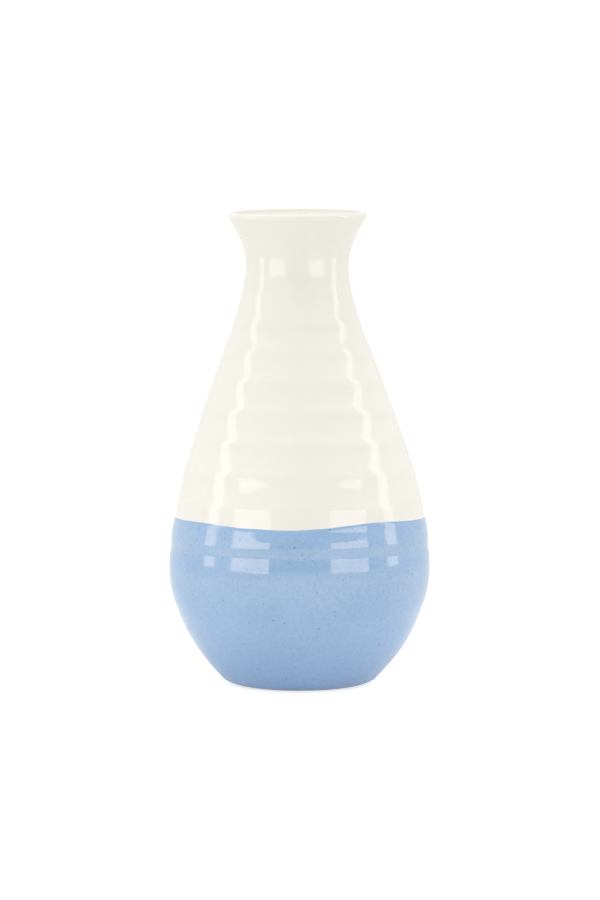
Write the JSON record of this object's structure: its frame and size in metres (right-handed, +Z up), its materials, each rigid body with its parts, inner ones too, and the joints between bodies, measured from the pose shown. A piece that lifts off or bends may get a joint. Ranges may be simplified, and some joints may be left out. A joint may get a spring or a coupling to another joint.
{
  "type": "bud vase",
  "caption": "Tall thrown stoneware bud vase with a narrow flared neck, glazed white with a blue dipped foot.",
  "frame": {"origin": "centre of the ring that the vase stands on, in the plane of the table", "axes": "+Z up along the vase's axis, towards the mouth; X and Y are any two level directions"},
  "size_m": [0.083, 0.083, 0.15],
  "materials": {
    "bare_clay": "unglazed stoneware, matt and slightly sandy",
    "liner_glaze": "glossy warm white glaze, poured",
    "white_glaze": "glossy warm white glaze with faint throwing rings",
    "blue_glaze": "glossy light blue glaze, mottled and finely speckled",
    "base_glaze": "glossy light blue glaze"
  },
  "bodies": {
    "root": {"clay_body": "bare_clay", "liner_glaze": "liner_glaze", "white_glaze": "white_glaze", "blue_glaze": "blue_glaze", "base_glaze": "base_glaze"}
  },
  "joints": []
}
